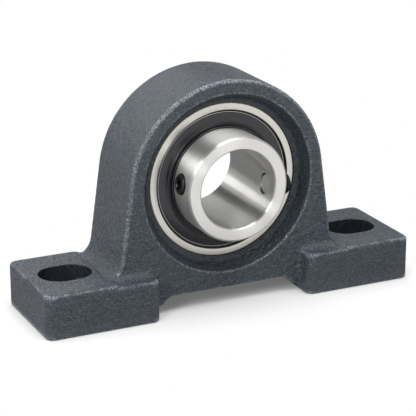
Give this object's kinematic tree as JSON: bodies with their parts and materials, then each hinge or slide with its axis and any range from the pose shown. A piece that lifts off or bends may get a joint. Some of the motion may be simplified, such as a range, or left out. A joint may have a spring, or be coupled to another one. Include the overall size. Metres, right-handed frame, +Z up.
{
  "type": "pillow block bearing",
  "caption": "Cast pillow block with a swivelling ball bearing insert, wide inner ring with set screws, and two slotted feet for bolting to a frame.",
  "frame": {"origin": "on the mounting face, midway between the two bolt slots, below the shaft axis", "axes": "+X along the base, +Y along the shaft axis away from the set screws, +Z up from the mounting face"},
  "size_m": [0.15, 0.0432, 0.0865],
  "materials": {
    "cast_paint": "slate grey paint on a rough casting",
    "outer_steel": "ground, satin",
    "inner_steel": "turned, bright satin",
    "flinger_coat": "smooth dark coating",
    "seal_rubber": "matte",
    "screw_oxide": "black oxide",
    "cage_steel": "stamped",
    "rivet_steel": "plain",
    "ball_steel": "polished",
    "pin_steel": "ground"
  },
  "bodies": {
    "housing_body": {"housing": "cast_paint"},
    "pin_body": {"anti_rotation_pin": "pin_steel"},
    "outer_body": {"outer_ring": "outer_steel", "front_seal": "seal_rubber", "rear_seal": "seal_rubber"},
    "inner_body": {"inner_ring": "inner_steel", "front_flinger": "flinger_coat", "rear_flinger": "flinger_coat"},
    "cage_body": {"cage_front": "cage_steel", "cage_rear": "cage_steel", "cage_rivets": "rivet_steel"},
    "screw_left_body": {"set_screw_left": "screw_oxide"},
    "screw_right_body": {"set_screw_right": "screw_oxide"},
    "ball_body_1": {"ball_1": "ball_steel"},
    "ball_body_2": {"ball_2": "ball_steel"},
    "ball_body_3": {"ball_3": "ball_steel"},
    "ball_body_4": {"ball_4": "ball_steel"},
    "ball_body_5": {"ball_5": "ball_steel"},
    "ball_body_6": {"ball_6": "ball_steel"},
    "ball_body_7": {"ball_7": "ball_steel"},
    "ball_body_8": {"ball_8": "ball_steel"},
    "ball_body_9": {"ball_9": "ball_steel"}
  },
  "joints": [
    {"name": "swivel_tilt", "type": "hinge", "parent": "housing_body", "child": "pin_body", "pos_m": [0, 0, 0.047], "axis": [1, 0, 0], "range_deg": [-3, 3]},
    {"name": "swivel_turn", "type": "hinge", "parent": "pin_body", "child": "outer_body", "pos_m": [0, 0, 0.047], "axis": [0, 0, 1], "range_deg": [-3, 3]},
    {"name": "shaft_spin", "type": "hinge", "parent": "outer_body", "child": "inner_body", "pos_m": [0, 0, 0.047], "axis": [0, 1, 0], "continuous": true},
    {"name": "cage_spin", "type": "hinge", "parent": "outer_body", "child": "cage_body", "pos_m": [0, 0, 0.047], "axis": [0, 1, 0], "continuous": true},
    {"name": "screw_left_feed", "type": "slide", "parent": "inner_body", "child": "screw_left_body", "axis": [-0.9914, 0, 0.1305], "range_m": [-0.0002, 0.002]},
    {"name": "screw_right_feed", "type": "slide", "parent": "inner_body", "child": "screw_right_body", "axis": [0.9914, 0, -0.1305], "range_m": [-0.0002, 0.002]},
    {"name": "ball_1_roll", "type": "hinge", "parent": "cage_body", "child": "ball_body_1", "pos_m": [0, 0, 0.07], "axis": [0, 1, 0], "continuous": true},
    {"name": "ball_2_roll", "type": "hinge", "parent": "cage_body", "child": "ball_body_2", "pos_m": [-0.01478, 0, 0.06462], "axis": [0, 1, 0], "continuous": true},
    {"name": "ball_3_roll", "type": "hinge", "parent": "cage_body", "child": "ball_body_3", "pos_m": [-0.02265, 0, 0.05099], "axis": [0, 1, 0], "continuous": true},
    {"name": "ball_4_roll", "type": "hinge", "parent": "cage_body", "child": "ball_body_4", "pos_m": [-0.01992, 0, 0.0355], "axis": [0, 1, 0], "continuous": true},
    {"name": "ball_5_roll", "type": "hinge", "parent": "cage_body", "child": "ball_body_5", "pos_m": [-0.00787, 0, 0.02539], "axis": [0, 1, 0], "continuous": true},
    {"name": "ball_6_roll", "type": "hinge", "parent": "cage_body", "child": "ball_body_6", "pos_m": [0.00787, 0, 0.02539], "axis": [0, 1, 0], "continuous": true},
    {"name": "ball_7_roll", "type": "hinge", "parent": "cage_body", "child": "ball_body_7", "pos_m": [0.01992, 0, 0.0355], "axis": [0, 1, 0], "continuous": true},
    {"name": "ball_8_roll", "type": "hinge", "parent": "cage_body", "child": "ball_body_8", "pos_m": [0.02265, 0, 0.05099], "axis": [0, 1, 0], "continuous": true},
    {"name": "ball_9_roll", "type": "hinge", "parent": "cage_body", "child": "ball_body_9", "pos_m": [0.01478, 0, 0.06462], "axis": [0, 1, 0], "continuous": true}
  ],
  "couplings": [
    {"joint": "cage_spin", "follows": "shaft_spin", "ratio": 0.39647},
    {"joint": "ball_1_roll", "follows": "shaft_spin", "ratio": -2.3112},
    {"joint": "ball_2_roll", "follows": "shaft_spin", "ratio": -2.3112},
    {"joint": "ball_3_roll", "follows": "shaft_spin", "ratio": -2.3112},
    {"joint": "ball_4_roll", "follows": "shaft_spin", "ratio": -2.3112},
    {"joint": "ball_5_roll", "follows": "shaft_spin", "ratio": -2.3112},
    {"joint": "ball_6_roll", "follows": "shaft_spin", "ratio": -2.3112},
    {"joint": "ball_7_roll", "follows": "shaft_spin", "ratio": -2.3112},
    {"joint": "ball_8_roll", "follows": "shaft_spin", "ratio": -2.3112},
    {"joint": "ball_9_roll", "follows": "shaft_spin", "ratio": -2.3112}
  ]
}
